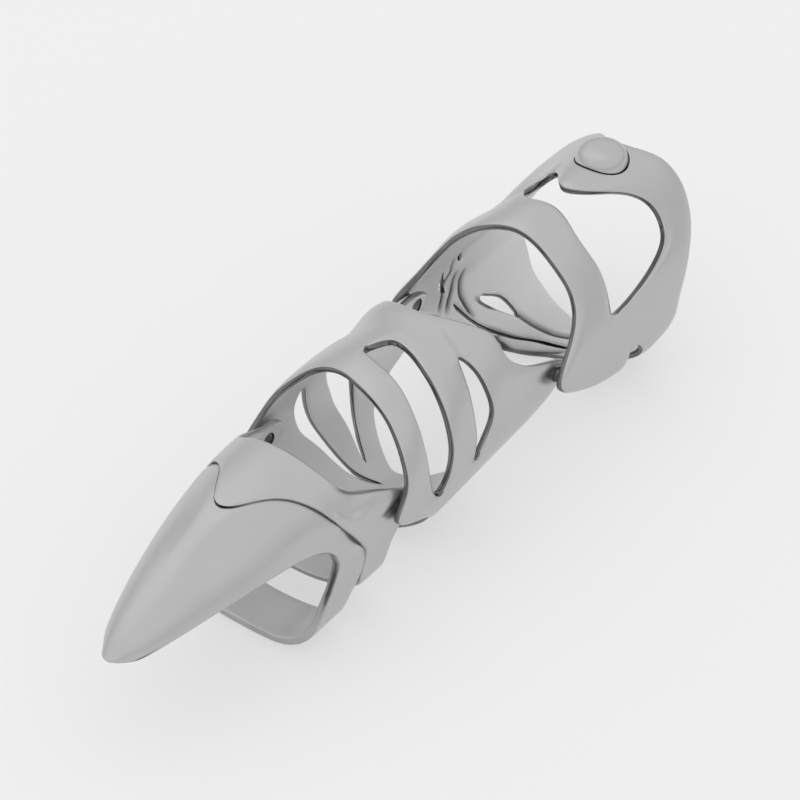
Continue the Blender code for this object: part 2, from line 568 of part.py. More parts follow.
def stone_mesh():
    work = bmesh.new()
    bmesh.ops.create_uvsphere(work, u_segments=24, v_segments=12, radius=STONE_RADIUS * MM)
    bmesh.ops.bisect_plane(work, geom=work.verts[:] + work.edges[:] + work.faces[:], plane_co=(0, 0, 0),
                           plane_no=(0, 0, -1), clear_outer=True, dist=1e-7)
    rim = [edge for edge in work.edges if edge.is_boundary]
    bmesh.ops.holes_fill(work, edges=rim, sides=0)
    for vert in work.verts:
        if vert.co.z > 1e-6:
            reach = min(1.0, math.hypot(vert.co.x, vert.co.y) / (STONE_RADIUS * MM))
            vert.co.z = STONE_RISE * MM * (1.0 - reach ** STONE_FULLNESS) ** (1.0 / STONE_FULLNESS)
    work.normal_update()
    bmesh.ops.recalc_face_normals(work, faces=work.faces)
    mesh = bpy.data.meshes.new("cabochon")
    work.to_mesh(mesh)
    work.free()
    return mesh


stone_data = stone_mesh()
stone_data.materials.append(polished)
stone = new_object("cabochon", stone_data, parts)
stone.location = STONE_PLACE
shade_round(stone)

for tool in cutters.objects:
    tool.hide_render = True
    tool.display_type = "WIRE"
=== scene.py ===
import bpy
import math
import numpy as np
from mathutils import Matrix, Vector


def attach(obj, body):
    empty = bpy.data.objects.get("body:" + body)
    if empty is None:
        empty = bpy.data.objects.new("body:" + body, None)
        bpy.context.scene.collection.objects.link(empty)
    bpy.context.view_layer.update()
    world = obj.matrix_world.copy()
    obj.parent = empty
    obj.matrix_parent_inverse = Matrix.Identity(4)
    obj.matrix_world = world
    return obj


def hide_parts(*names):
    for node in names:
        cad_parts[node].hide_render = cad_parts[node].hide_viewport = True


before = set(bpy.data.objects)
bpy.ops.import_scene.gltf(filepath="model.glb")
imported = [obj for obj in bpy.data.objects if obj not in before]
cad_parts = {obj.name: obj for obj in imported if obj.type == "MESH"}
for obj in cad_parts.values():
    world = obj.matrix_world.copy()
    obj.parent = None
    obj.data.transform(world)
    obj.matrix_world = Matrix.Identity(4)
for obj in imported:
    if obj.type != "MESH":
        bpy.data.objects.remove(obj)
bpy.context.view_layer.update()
print("frame loaded")

# Lengths in the tables are millimetres; angles run round the finger from the top, positive to +X
mm = 0.001
hingeHeight = 11.8
fingertipY = -9.25
knuckleY = 18.45
knucklePinY = 19.05
scene = bpy.context.scene
wallLook = {
    "coarse": 2, "fine": 2,        # subdivision before and after the wall is given its thickness
    "rimHold": 0.36, "sharp": 60,  # crease of the rims, degrees of an edge that stays sharp
    "shutGap": 0.02}               # a slot narrower than this closes to a single line
spare = bpy.data.collections.new("spare")
scene.collection.children.link(spare)


# Value at any place of a table: cubics whose slope at a row is the harmonic mean of the slopes beside it
def through(rows):
    x, y = np.array(sorted(map(tuple, rows)), float).T
    steps = np.diff(y) / np.diff(x)
    product = steps[:-1] * steps[1:]
    total = steps[:-1] + steps[1:]
    inner = np.where(product > 0, 2 * product / np.where(product > 0, total, 1), 0)
    slopes = np.concatenate((steps[:1], inner, steps[-1:]))

    def value(at):
        at = np.clip(np.asarray(at, float), x[0], x[-1])
        i = np.clip(np.searchsorted(x, at) - 1, 0, len(x) - 2)
        span = x[i + 1] - x[i]
        t = (at - x[i]) / span
        start = y[i] * (1 + 2 * t) * (1 - t) ** 2 + slopes[i] * span * t * (1 - t) ** 2
        return start + y[i + 1] * t * t * (3 - 2 * t) + slopes[i + 1] * span * t * t * (t - 1)
    return value


# The same for a table that closes on itself round the finger
def ringThrough(rows):
    rows = sorted(rows)
    before = [(angle - 360, value) for angle, value in rows[-3:] if angle < 180]
    after = [(angle + 360, value) for angle, value in rows[:3] if angle > -180]
    return through(before + rows + after)


# Bell curve: one at the middle, falling as exp of minus the square of distance over reach
def bell(distance, reach):
    return np.exp(-(distance / reach) ** 2)


# Straight line from zero to one, level outside
def ramp(value):
    return np.clip(value, 0.0, 1.0)


# Millimetres to rows of points in metres
def points(x, y, z):
    return np.stack(np.broadcast_arrays(x, y, z), -1).reshape(-1, 3) * mm


# Point at an angle round the finger: x is radius times sine, z is radius times cosine above the hinge line
def polarPoints(angle, length, radius, originY):
    turned = np.radians(angle)
    return points(radius * np.sin(turned), originY + length, hingeHeight + radius * np.cos(turned))


# Angle, length and radius of points, measured back from a hinge line
def polarOf(verts, originY):
    x, y, z = (verts / mm).T
    z = z - hingeHeight
    return np.degrees(np.arctan2(x, z)), y - originY, np.hypot(x, z)


# Bumps on a radius: each adds its height times a bell of the angle times a bell of the length
def bulged(radius, angle, length, rows):
    for height, place, reach, along, spread in rows:
        radius = radius + height * bell(angle - place, reach) * bell(length - along, spread)
    return radius


# Faces of a grid of vertex numbers: each cell joins a column to the next one
def gridFaces(index, closed, solid=None):
    after = np.roll(index, -1, axis=0)
    cells = np.stack((index[:, :-1], after[:, :-1], after[:, 1:], index[:, 1:]), -1)
    if not closed:
        cells = cells[:-1]
        solid = None if solid is None else solid[:-1]
    return cells[solid] if solid is not None else cells.reshape(-1, 4)


# Mesh from an array of points and one or more arrays of faces
def newMesh(name, verts, *faces):
    mesh = bpy.data.meshes.new(name)
    mesh.from_pydata(verts.tolist(), [], [face for group in faces for face in group.tolist()])
    mesh.validate()
    mesh.update()
    return mesh


def newObject(name, mesh, where=scene.collection):
    item = bpy.data.objects.new(name, mesh)
    where.objects.link(item)
    return item


# Mesh's points as an array
def meshPoints(mesh):
    verts = np.empty(len(mesh.vertices) * 3)
    mesh.vertices.foreach_get("co", verts)
    return verts.reshape(-1, 3)


# Mesh of an item with its modifiers applied
def finished(item):
    bpy.context.view_layer.update()
    return bpy.data.meshes.new_from_object(item.evaluated_get(bpy.context.evaluated_depsgraph_get()))


# Smooth sheet from a coarse one: each level splits its faces in four and averages the corners
def smoothed(name, verts, faces, levels):
    item = newObject(name, newMesh(name, verts, faces), spare)
    form = item.modifiers.new("form", "SUBSURF")
    form.levels = form.render_levels = levels
    form.boundary_smooth = "ALL"
    mesh = finished(item)
    bpy.data.objects.remove(item)
    return mesh


# Sheet's faces turn away from the finger's axis
def turnOutward(mesh):
    normals = np.empty(len(mesh.polygons) * 3)
    centres = np.empty(len(mesh.polygons) * 3)
    mesh.polygons.foreach_get("normal", normals)
    mesh.polygons.foreach_get("center", centres)
    away = centres.reshape(-1, 3) * (1, 0, 1) - (0, 0, hingeHeight * mm)
    if (normals.reshape(-1, 3) * away).sum() < 0:
        mesh.flip_normals()


# Closed wall scaled away from the finger's axis, so that its radius grows by the relief's lift in millimetres
# Outside is one where the wall faces away from the axis, zero where it faces it; the material reads the shade,
# which is painted shade
def raised(mesh, originY, relief):
    verts = meshPoints(mesh)
    normals = np.empty(len(mesh.vertices) * 3)
    mesh.vertex_normals.foreach_get("vector", normals)
    angle, length, radius = polarOf(verts, originY)
    turned = np.radians(angle)
    facing = normals.reshape(-1, 3)[:, 0] * np.sin(turned) + normals.reshape(-1, 3)[:, 2] * np.cos(turned)
    outside = ramp(0.5 + facing)
    (outerLift, outerShade), (innerLift, innerShade), rimShade = relief(angle, length)
    lift = outside * outerLift + (1 - outside) * innerLift
    edgeOn = (4 * outside * (1 - outside)) ** 4
    shade = ramp(outside * outerShade + (1 - outside) * innerShade + edgeOn * rimShade)
    scale = (radius + lift) / radius
    verts[:, 0] *= scale
    verts[:, 2] = hingeHeight * mm + (verts[:, 2] - hingeHeight * mm) * scale
    mesh.vertices.foreach_set("co", verts.ravel())
    # Painted shade and painted dark reflection, stored on the points so that the material darkens its grey
    # there
    mark = mesh.attributes.new("paintedShadeAndReflection", "FLOAT", "POINT")
    mark.data.foreach_set("value", shade.astype(np.float32))
    mesh.update()


# Smooth shading, with a sharp edge where two faces meet at more than the given degrees
def softened(item, sharpest=None):
    item.data.polygons.foreach_set("use_smooth", np.ones(len(item.data.polygons), bool))
    if sharpest:
        item.data.set_sharp_from_angle(angle=math.radians(sharpest))


# Walls of a cut take the rim's dark silver, painted shade; an added form takes the inner face's lighter
# silver, painted light
def toolPaintedShadeAndLight(tool, operation):
    place = 2 if operation == "DIFFERENCE" else 1
    tool.data.materials.clear()
    for made in (silverOuter, silverInnerPaintedLight, silverRimPaintedReflection):
        tool.data.materials.append(made)
    tool.data.polygons.foreach_set("material_index", np.full(len(tool.data.polygons), place, np.int32))


# Wall with soft rims on a sheet, then relief, then clean holes and added forms, as one closed mesh
def walled(name, mesh, thick, originY, relief, rim, tools=()):
    turnOutward(mesh)
    item = newObject(name, mesh)
    for made in (silverOuter, silverInnerPaintedLight, rim):
        mesh.materials.append(made)
    wall = item.modifiers.new("wall", "SOLIDIFY")
    wall.thickness = thick * mm
    wall.offset = -1.0
    wall.use_even_offset = True
    # Inner faces take the lighter silver, painted light; rims take the dark silver, painted dark reflection
    wall.material_offset = 1
    wall.material_offset_rim = 2
    wall.edge_crease_outer = wall.edge_crease_inner = wallLook["rimHold"]
    soft = item.modifiers.new("soft", "SUBSURF")
    soft.levels = soft.render_levels = wallLook["fine"]
    item.data = finished(item)
    item.modifiers.clear()
    raised(item.data, originY, relief)
    for tool, operation in tools:
        toolPaintedShadeAndLight(tool, operation)
        hole = item.modifiers.new("hole", "BOOLEAN")
        hole.operation = operation
        hole.solver = "EXACT"
        hole.object = tool
    if tools:
        item.data = finished(item)
        item.modifiers.clear()
    softened(item, wallLook["sharp"])
    for tool, operation in tools:
        bpy.data.objects.remove(tool)
    return item


# Item rides on its body and shows in place of its nodes
def give(item, body, slot, *nodes):
    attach(item, body)
    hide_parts(*nodes)


# Turned form: a profile of (radius, height) rows swept round the upright axis, with its two ends on that axis
def turnedMesh(name, profile, around=64):
    profile = np.array(profile, float)
    rings = profile[1:-1]
    turn = np.linspace(0, 2 * np.pi, around, endpoint=False)
    x = np.cos(turn)[:, None] * rings[:, 0]
    y = np.sin(turn)[:, None] * rings[:, 0]
    ends = [points(0, 0, height) for height in profile[[0, -1], 1]]
    verts = np.vstack([points(x, y, rings[None, :, 1])] + ends)
    index = np.arange(around * len(rings)).reshape(around, len(rings))
    after = np.roll(index, -1, axis=0)
    low = np.stack((after[:, 0], index[:, 0], np.full(around, index.size)), -1)
    high = np.stack((index[:, -1], after[:, -1], np.full(around, index.size + 1)), -1)
    return newMesh(name, verts, gridFaces(index, True), low, high)


# Item's mesh moved to its place, with its upright axis first laid along X where it goes in sideways
def seated(item, place, sideways=False):
    verts = meshPoints(item.data)
    if sideways:
        verts = verts[:, [2, 0, 1]]
    item.data.vertices.foreach_set("co", (verts + np.array(place) * mm).ravel())
    item.data.update()
    return item


evenStretch = (1.0, 1.0, 1.0)
noiseSpan = (0.3, 0.7)   # where most of a noise's values lie


# Satin cast silver: noise mottles the roughness and the grey, fine noise lifts the surface, and a stored mark
# of painted shade and painted dark reflection darkens creases and rims
def silver(name, look):
    made = bpy.data.materials.new(name)
    made.use_nodes = True
    nodes = made.node_tree.nodes
    links = made.node_tree.links
    shader = nodes["Principled BSDF"]
    shader.inputs["Metallic"].default_value = 1.0
    shader.inputs["Specular Tint"].default_value = (look["edgeGrey"],) * 3 + (1.0,)
    place = nodes.new("ShaderNodeTexCoord")

    def noise(scale, detail, stretch=evenStretch):
        spread = nodes.new("ShaderNodeMapping")
        spread.inputs["Scale"].default_value = stretch
        links.new(place.outputs["Object"], spread.inputs["Vector"])
        texture = nodes.new("ShaderNodeTexNoise")
        texture.inputs["Scale"].default_value = scale
        texture.inputs["Detail"].default_value = detail
        links.new(spread.outputs["Vector"], texture.inputs["Vector"])
        return texture.outputs["Fac"]

    def spanned(value, middle, play):
        span = nodes.new("ShaderNodeMapRange")
        span.inputs["From Min"].default_value, span.inputs["From Max"].default_value = noiseSpan
        span.inputs["To Min"].default_value = middle - play
        span.inputs["To Max"].default_value = middle + play
        links.new(value, span.inputs["Value"])
        return span.outputs["Result"]

    def mixed(factor, first, second):
        mix = nodes.new("ShaderNodeMix")
        links.new(factor, mix.inputs["Factor"])
        for value, plug in ((first, mix.inputs["A"]), (second, mix.inputs["B"])):
            if isinstance(value, float):
                plug.default_value = value
            else:
                links.new(value, plug)
        return mix.outputs["Result"]

    # Painted shade and painted dark reflection: where the stored mark is full the grey goes dark
    paintedShadeAndReflection = nodes.new("ShaderNodeAttribute")
    paintedShadeAndReflection.attribute_name = "paintedShadeAndReflection"
    grey = spanned(noise(*look["mottle"]), look["grey"], look["greyPlay"])
    grey = mixed(paintedShadeAndReflection.outputs["Fac"], grey, look["paintedShadeGrey"])
    colour = nodes.new("ShaderNodeCombineColor")
    for plug, tint in zip(colour.inputs, look["tint"]):
        scale = nodes.new("ShaderNodeMath")
        scale.operation = "MULTIPLY"
        scale.inputs[1].default_value = tint
        links.new(grey, scale.inputs[0])
        links.new(scale.outputs[0], plug)
    links.new(colour.outputs["Color"], shader.inputs["Base Color"])
    rough = spanned(noise(*look["haze"]), look["rough"], look["roughPlay"])
    rough = mixed(paintedShadeAndReflection.outputs["Fac"], rough, look["paintedShadeRough"])
    links.new(rough, shader.inputs["Roughness"])
    normal = None
    for scale, detail, stretch, strength, depth in look["bumps"]:
        bump = nodes.new("ShaderNodeBump")
        bump.inputs["Strength"].default_value = strength
        bump.inputs["Distance"].default_value = depth
        links.new(noise(scale, detail, stretch), bump.inputs["Height"])
        if normal:
            links.new(normal, bump.inputs["Normal"])
        normal = bump.outputs["Normal"]
    links.new(normal, shader.inputs["Normal"])
    return made


silverLook = {
    "grey": 0.52, "greyPlay": 0.006, "edgeGrey": 1.0, "tint": (1.0, 1.0, 1.004),
    "rough": 0.3, "roughPlay": 0.015,                    # satin polish
    "mottle": (220.0, 3.0),                              # scale and detail of the noise in the grey
    "haze": (814.0, 4.0),                                # and of the noise in the roughness
    # grey and roughness of the painted shade and painted dark reflection
    "paintedShadeGrey": 0.09, "paintedShadeRough": 0.35,
    "bumps": [                                           # scale, detail, stretch, strength, depth in metres
        (9000.0, 4.0, evenStretch, 0.1, 0.00002),        # grain
        (3000.0, 2.0, (1.0, 0.06, 1.0), 0.1, 0.00001),   # scratches along the finger
        (160.0, 1.0, evenStretch, 0.03, 0.0002)]}        # slow waves
silverOuter = silver("satin_silver_outer", silverLook)
# Inner faces: a lighter copy of the same silver, painted light
silverInnerPaintedLight = silver("satin_silver_inner_painted_light", dict(silverLook, grey=0.7, rough=0.5))
# Rims: a dark copy of the same silver, painted dark reflection
silverRimPaintedReflection = silver("silver_rim_painted_reflection", dict(silverLook, grey=0.19, greyPlay=0.05, rough=0.13, roughPlay=0.04))
# Rims of the nail plate and collar: a less dark copy, painted dark reflection
silverEdgePaintedReflection = silver("silver_edge_painted_reflection", dict(silverLook, grey=0.42, greyPlay=0.03, rough=0.36, roughPlay=0.04))
silverStone = silver("stone_polish", dict(silverLook, grey=0.5, rough=0.24))
# Pins: a very dark copy of the same silver, painted shade inside the hinge holes
silverPinPaintedShade = silver("pin_silver", dict(silverLook, grey=0.14, rough=0.3))
print("materials made")

# Middle shell: two arch bands over open crescents, a rear plate, slits down the left wall
# Columns of edges and places: angle, length behind the fingertip hinge; of widths: angle, width
middleFront = [
    (-180, 5.6), (-150, 5.3), (-130, 4.4), (-120, 3.2), (-114, 2.2), (-108, 1.0), (-101, -0.7), (-96, -1.9),
    (-90, -2.3), (-84, -1.5), (-79, -0.4), (-72, 0.6), (-65, 1.0), (-53, 1.9), (-45, 3.2), (-36, 4.5),
    (-22, 4.7), (-13, 4.5), (0, 4.0), (13, 3.4), (37, 2.4), (53, 1.5), (65, 1.0), (72, 0.6),
    (79, -0.4), (84, -1.5), (90, -2.3), (96, -1.4), (101, 0.2), (108, 2.6), (114, 4.4), (120, 5.3),
    (130, 5.6), (150, 5.7), (180, 5.6)]
middleRear = [
    (-172, 13.3), (-157, 14.5), (-140, 16.1), (-129, 17.3), (-120, 21.2), (-116, 25.2), (-109, 27.2),
    (-103, 28.8), (-96, 30.2), (-90, 30.7), (-84, 30.0), (-79, 28.0), (-72, 25.2), (-64, 22.8), (-55, 20.8),
    (-45, 19.6), (-34, 18.9), (-22, 18.5), (-7, 18.2), (5, 19.0), (16, 19.9), (27, 21.1), (37, 22.0),
    (47, 21.7), (56, 21.6), (64, 22.6), (72, 25.2), (79, 28.0), (84, 30.0), (90, 30.7), (96, 30.2),
    (103, 28.8), (109, 27.2), (116, 25.0), (120, 21.6), (129, 18.2), (140, 16.7), (158, 15.2), (168, 14.2),
    (180, 13.1)]
frontSlotPlace = [
    (-175, 11.4), (-168, 10.6), (-158, 9.7), (-145, 9.2), (-133, 8.95), (-120, 8.2), (-111, 7.65),
    (-101, 7.5), (-94, 7.55), (-87, 7.9), (-80, 8.2), (-66, 8.2), (-50, 8.3), (-30, 8.5), (-14, 8.9),
    (-8, 9.9), (-2, 10.25), (13, 9.65), (24, 8.95), (35, 8.3), (47, 7.6), (60, 6.95), (75, 6.25),
    (86, 5.8), (93, 5.6), (100, 5.5), (112, 6.6), (130, 7.9), (150, 9.2), (165, 10.4), (180, 11.2)]
frontSlotWidth = [
    (-175, 0), (-168, 0.45), (-158, 0.6), (-145, 1.0), (-133, 1.1), (-120, 1.8), (-111, 2.2), (-101, 2.2),
    (-94, 2.1), (-87, 1.4), (-80, 0), (-14, 0), (-8, 3.0), (-2, 4.6), (13, 4.3), (24, 4.1), (35, 4.3),
    (47, 4.4), (60, 4.5), (75, 4.3), (86, 3.4), (93, 2.2), (100, 0), (180, 0)]
rearSlotPlace = [
    (-168, 12.1), (-158, 11.7), (-150, 12.2), (-140, 12.9), (-129, 13.5), (-118, 13.85), (-109, 14.05),
    (-101, 14.2), (-92, 14.25), (-82, 14.2), (-70, 14.0), (-60, 13.6), (-50, 13.8), (-30, 14.4), (0, 15.0),
    (15, 15.5), (31, 16.0), (37, 16.1), (47, 15.95), (56, 15.7), (68, 15.3), (75, 15.05), (84, 14.45),
    (93, 13.35), (100, 12.2), (120, 11.8), (150, 11.9), (165, 12.1), (180, 12.2)]
rearSlotWidth = [
    (-158, 0), (-150, 0.6), (-140, 0.7), (-129, 1.1), (-118, 2.2), (-109, 3.0), (-101, 3.4), (-92, 4.0),
    (-82, 4.2), (-70, 3.0), (-60, 0), (0, 0), (31, 0), (37, 1.0), (47, 2.0), (56, 2.6), (68, 3.3),
    (75, 3.5), (84, 3.0), (93, 1.8), (100, 0), (180, 0)]
# Columns: length, radius
middleRadius = [
    (-4, 10.9), (2, 11.05), (8, 11.2), (12, 10.95), (15, 10.45), (18, 10.45), (24, 10.4), (31, 10.4)]
middleColumns = [
    -175, -168, -158, -150, -140, -129, -120, -115, -109, -101, -94, -90, -86, -80, -70, -60, -50, -36,
    -22, -14, -8, -2, 13, 24, 31, 37, 47, 56, 68, 75, 80, 85, 90, 94, 100, 105, 110, 115, 120, 126,
    133, 145, 158, 170]


# Sheet of bands round the finger: columns times rows from front to rear, open between every second pair
def bandedSheet(name, columns, rows, place, levels):
    columns = np.array(columns, float)
    lengths = np.stack([row(columns) for row in rows], 1)
    verts = place(np.repeat(columns[:, None], len(rows), 1), lengths)
    index = np.arange(lengths.size).reshape(lengths.shape)
    for slot in range(1, len(rows) - 1, 2):
        shut = np.abs(lengths[:, slot + 1] - lengths[:, slot]) < wallLook["shutGap"]
        index[:, slot + 1] = np.where(shut, index[:, slot], index[:, slot + 1])
    solid = np.zeros((len(columns), len(rows) - 1), bool)
    solid[:, ::2] = True
    faces = gridFaces(index, True, solid)
    used, packed = np.unique(faces, return_inverse=True)
    return smoothed(name, verts[used], packed.reshape(faces.shape), levels)


# Rows of a shell: its front edge, both sides of each opening, its rear edge
def shellRows(front, slots, rear):
    rows = [ringThrough(front)]
    for place, width in slots:
        centre = ringThrough(place)
        span = ringThrough(width)
        rows.append(lambda angle, centre=centre, span=span: centre(angle) - span(angle) / 2)
        rows.append(lambda angle, centre=centre, span=span: centre(angle) + span(angle) / 2)
    return rows + [ringThrough(rear)]


middleRadiusAt = through(middleRadius)
middleSlots = [(frontSlotPlace, frontSlotWidth), (rearSlotPlace, rearSlotWidth)]
middleRowsAt = shellRows(middleFront, middleSlots, middleRear)
middleLook = {
    "wall": 1.0, "palmRise": 0.6, "palmReach": 26,
    "flankAngle": -56, "flankReach": 18,
    "roll": (0.16, 0.9),                                # depth and reach of the bands' soft edges
    # foldShade: strength of the painted shade along the fold
    "fold": (0.16, 0.35), "foldShade": 0.5,             # depth and reach of the fold on the second band
    "foldLine": [(14, 17.2), (23, 16.8), (32, 16.4), (38, 16.2)]}
# Columns: height, angle, its reach, length, its reach
middleBulges = [
    (0.5, -42, 24, 18, 2), (0.7, -52, 18, 18.3, 2), (-0.8, -56, 16, 23.6, 2.2), (-0.3, -55, 14, 14.8, 1.6),
    (0.35, -106, 12, 0, 3)]
middleLugBulge = [(0.15, 90, 14, -1, 4)]                # the same on both sides


# Radius by length, plus the bulges, plus a bell that widens the palm side
def middlePlace(angle, length):
    radius = bulged(middleRadiusAt(length), angle, length, middleBulges)
    radius = bulged(radius, np.abs(angle), length, middleLugBulge)
    radius = radius + middleLook["palmRise"] * bell(180 - np.abs(angle), middleLook["palmReach"])
    return polarPoints(angle, length, radius, fingertipY)


fadeAngle = 5.0     # degrees over which a groove fades at its ends
degreeArc = 0.21    # a degree's length on the shells
earArc = 0.19       # a degree's length at the collar's ears
shutWidth = 0.8     # an opening narrower than this has no soft edges


# Groove along a line of angle and length: depth falls as a bell of the distance across the line
def groove(angle, length, line, depth, width):
    course = through(line)
    low, high = line[0][0], line[-1][0]
    ends = ramp((angle - low) / fadeAngle + 0.3) * ramp((high - angle) / fadeAngle + 0.3)
    slope = (course(angle + 1) - course(angle - 1)) / (2 * degreeArc)
    return depth * ends * bell((length - course(angle)) / np.hypot(1, slope), width)


# Angle turned into the span of a line's own angles, which may pass the seam under the finger
def unwound(angle, low):
    return np.where(angle < low - 20, angle + 360, np.where(angle > low + 340, angle - 360, angle))


# Sum of the grooves along several lines
def creased(angle, length, lines, depth, width):
    cuts = 0
    for line in lines:
        line = sorted(line)
        cuts = cuts + groove(unwound(angle, line[0][0]), length, line, depth, width)
    return cuts


# Soft roll towards the edges of a band: lift falls as a bell of the distance to the nearest open edge
def rolled(angle, length, rows, depth, width):
    places = [row(angle) for row in rows]
    away = [np.abs(length - place) for place in places]
    for slot in range(1, len(rows) - 1, 2):
        shut = 9 * (1 - ramp((places[slot + 1] - places[slot]) / shutWidth))
        away[slot] = away[slot] + shut
        away[slot + 1] = away[slot + 1] + shut
    return -depth * bell(np.min(away, axis=0), width)


# Columns: length, further lift of the left flank there
middleFlank = [
    (11, 0), (13.8, -0.22), (15.8, 0.1), (17.8, 0.4), (19.8, 0.2), (21.8, -0.3), (23.8, -0.6), (25.8, -0.34),
    (28, 0)]
middleFlankAt = through(middleFlank)


# Lift and painted shade of the outside, of the inside, painted shade of the rims: soft band edges, one fold
# with painted shade along it, the left flank
def middleRelief(angle, length):
    fold = groove(angle, length, middleLook["foldLine"], *middleLook["fold"])
    flank = middleFlankAt(length) * bell(angle - middleLook["flankAngle"], middleLook["flankReach"])
    outer = rolled(angle, length, middleRowsAt, *middleLook["roll"]) - fold + flank
    return (outer, middleLook["foldShade"] * fold), (flank, 0), 0


def joined(items):
    chosen = {"active_object": items[0], "selected_objects": items, "selected_editable_objects": items}
    with bpy.context.temp_override(**chosen):
        bpy.ops.object.join()
    return items[0]


pinLook = {"radius": 0.85, "play": 0.08, "round": 0.25, "sides": 40}
# Each hinge: where its pins start and end from the middle, and where they lie along the finger
pinEnds = {"fingertip": (8.8, 10.8, fingertipY), "knuckle": (9.4, 11.85, knucklePinY)}


# Cylinder along X with the pins' play all round, from inside the wall to just past the pin's end
def boreTool(start, end, originY, side):
    radius = pinLook["radius"] + pinLook["play"]
    low, high = sorted((side * (start - 2), side * (end + pinLook["play"])))
    profile = [(0, low), (radius, low), (radius, high), (0, high)]
    bore = newObject("bore", turnedMesh("bore", profile, pinLook["sides"]), spare)
    return seated(bore, (0, originY, hingeHeight), True)


def bores(*hinges):
    return joined([boreTool(*pinEnds[hinge], side) for hinge in hinges for side in (1, -1)])


middleSheet = bandedSheet("middle", middleColumns, middleRowsAt, middlePlace, wallLook["coarse"])
middle = walled("middle_shell_form", middleSheet, middleLook["wall"], fingertipY, middleRelief, silverRimPaintedReflection,
                [(bores("fingertip", "knuckle"), "DIFFERENCE")])
give(middle, "middle", "satin_silver", "middle_shell")
print("middle shell", len(middle.data.polygons))

# Base shell: leaning arch and hinge plates in front, full band behind, tendon straps below
# Columns of edges and places: angle, length behind the knuckle datum; of widths: angle, width
baseFront = [
    (-174, 12.4), (-166, 11.6), (-158, 11.0), (-150, 10.2), (-139, 8.8), (-128, 7.6), (-120, 6.4),
    (-114, 5.0), (-109, 3.6), (-103, 1.8), (-96, -0.6), (-90, -1.5), (-83, -0.3), (-76, 2.2), (-68, 4.0),
    (-60, 5.0), (-52, 5.4), (-43, 5.4), (-24, 5.8), (-10, 6.2), (0, 6.5), (10, 6.6), (19, 6.4), (34, 6.3),
    (44, 6.5), (52, 6.3), (60, 5.7), (68, 4.3), (76, 2.2), (83, -0.2), (90, -1.4), (96, -0.5), (103, 2.0),
    (109, 4.6), (114, 7.4), (118, 9.8), (124, 10.9), (135, 12.0), (150, 13.4), (160, 14.0), (170, 14.0),
    (180, 13.1)]
baseRear = [
    (-178, 19.8), (-167, 20.6), (-157, 21.1), (-147, 21.7), (-139, 21.9), (-132, 22.5), (-121, 23.7),
    (-110, 23.8), (-100, 24.0), (-94, 24.4), (-77, 26.8), (-62, 28.8), (-43, 29.8), (-27, 29.6), (-12, 27.8),
    (0, 27.0), (14, 28.4), (27, 29.8), (43, 30.0), (62, 29.1), (77, 27.2), (94, 24.4), (104, 22.8),
    (118, 21.9), (131, 21.3), (150, 20.5)]
archSlotPlace = [
    (-171, 14.4), (-161, 13.2), (-150, 11.9), (-139, 10.4), (-125, 9.4), (-118, 9.1), (-112, 8.6),
    (-104, 7.9), (-97, 8.3), (-90, 9.3), (-80, 10.2), (-68, 12.5), (-46, 15.8), (-30, 17.2), (-23, 17.0),
    (-13, 15.3), (-4, 14.1), (4, 14.3), (14, 15.2), (24, 16.5), (36, 17.55), (48, 18.05), (60, 17.7),
    (68, 16.9), (76, 14.2), (80, 10.6), (90, 11.4), (104, 13.2), (110, 13.7), (114, 14.0), (118, 14.1),
    (124, 14.2), (135, 14.7), (150, 15.4), (160, 15.7), (170, 15.5), (178, 15.1)]
archSlotWidth = [
    (-171, 0.4), (-161, 0.6), (-150, 0.6), (-139, 0.6), (-125, 0.5), (-118, 0), (-112, 0), (-104, 1.3),
    (-97, 0), (-80, 0), (-27, 0), (-23, 6.2), (-13, 6.2), (-4, 3.4), (4, 3.2), (14, 5.6), (24, 9.8),
    (36, 12.1), (48, 12.4), (60, 12.4), (68, 11.8), (76, 7.8), (80, 0), (105, 0), (110, 1.8), (114, 2.6),
    (118, 2.7), (124, 2.6), (135, 2.2), (150, 1.4), (160, 0.9), (170, 0.4), (178, 0)]
eyePlace = [
    (-170, 16.8), (-158, 16.2), (-152, 15.9), (-145, 15.6), (-139, 15.2), (-134, 14.7), (-130, 13.7),
    (-126, 13.2), (-112, 12.4), (-104, 11.9), (-99, 11.6), (-94, 11.3), (-89, 11.7), (-84, 16.0),
    (-80, 20.0), (-68, 24.4), (-46, 26.6), (-28, 25.6), (-12, 23.0), (0, 21.6), (12, 23.0), (28, 25.6),
    (46, 26.6), (68, 24.4), (80, 20.0), (90, 18.0), (104, 17.6), (118, 17.8), (150, 17.8), (180, 17.4)]
eyeWidth = [
    (-170, 0), (-152, 0), (-145, 1.1), (-139, 1.9), (-134, 2.2), (-130, 1.3), (-126, 0), (-99, 0),
    (-94, 0.9), (-89, 0), (0, 0), (170, 0)]
# Columns: degrees from the top, radius
baseRadius = [
    (0, 12.7), (12, 12.4), (24, 11.9), (40, 11.25), (57, 10.9), (75, 11.45), (90, 12.2), (103, 12.6),
    (112, 13.1), (118, 13.25), (128, 13.0), (140, 12.8), (150, 12.7), (158, 12.6)]
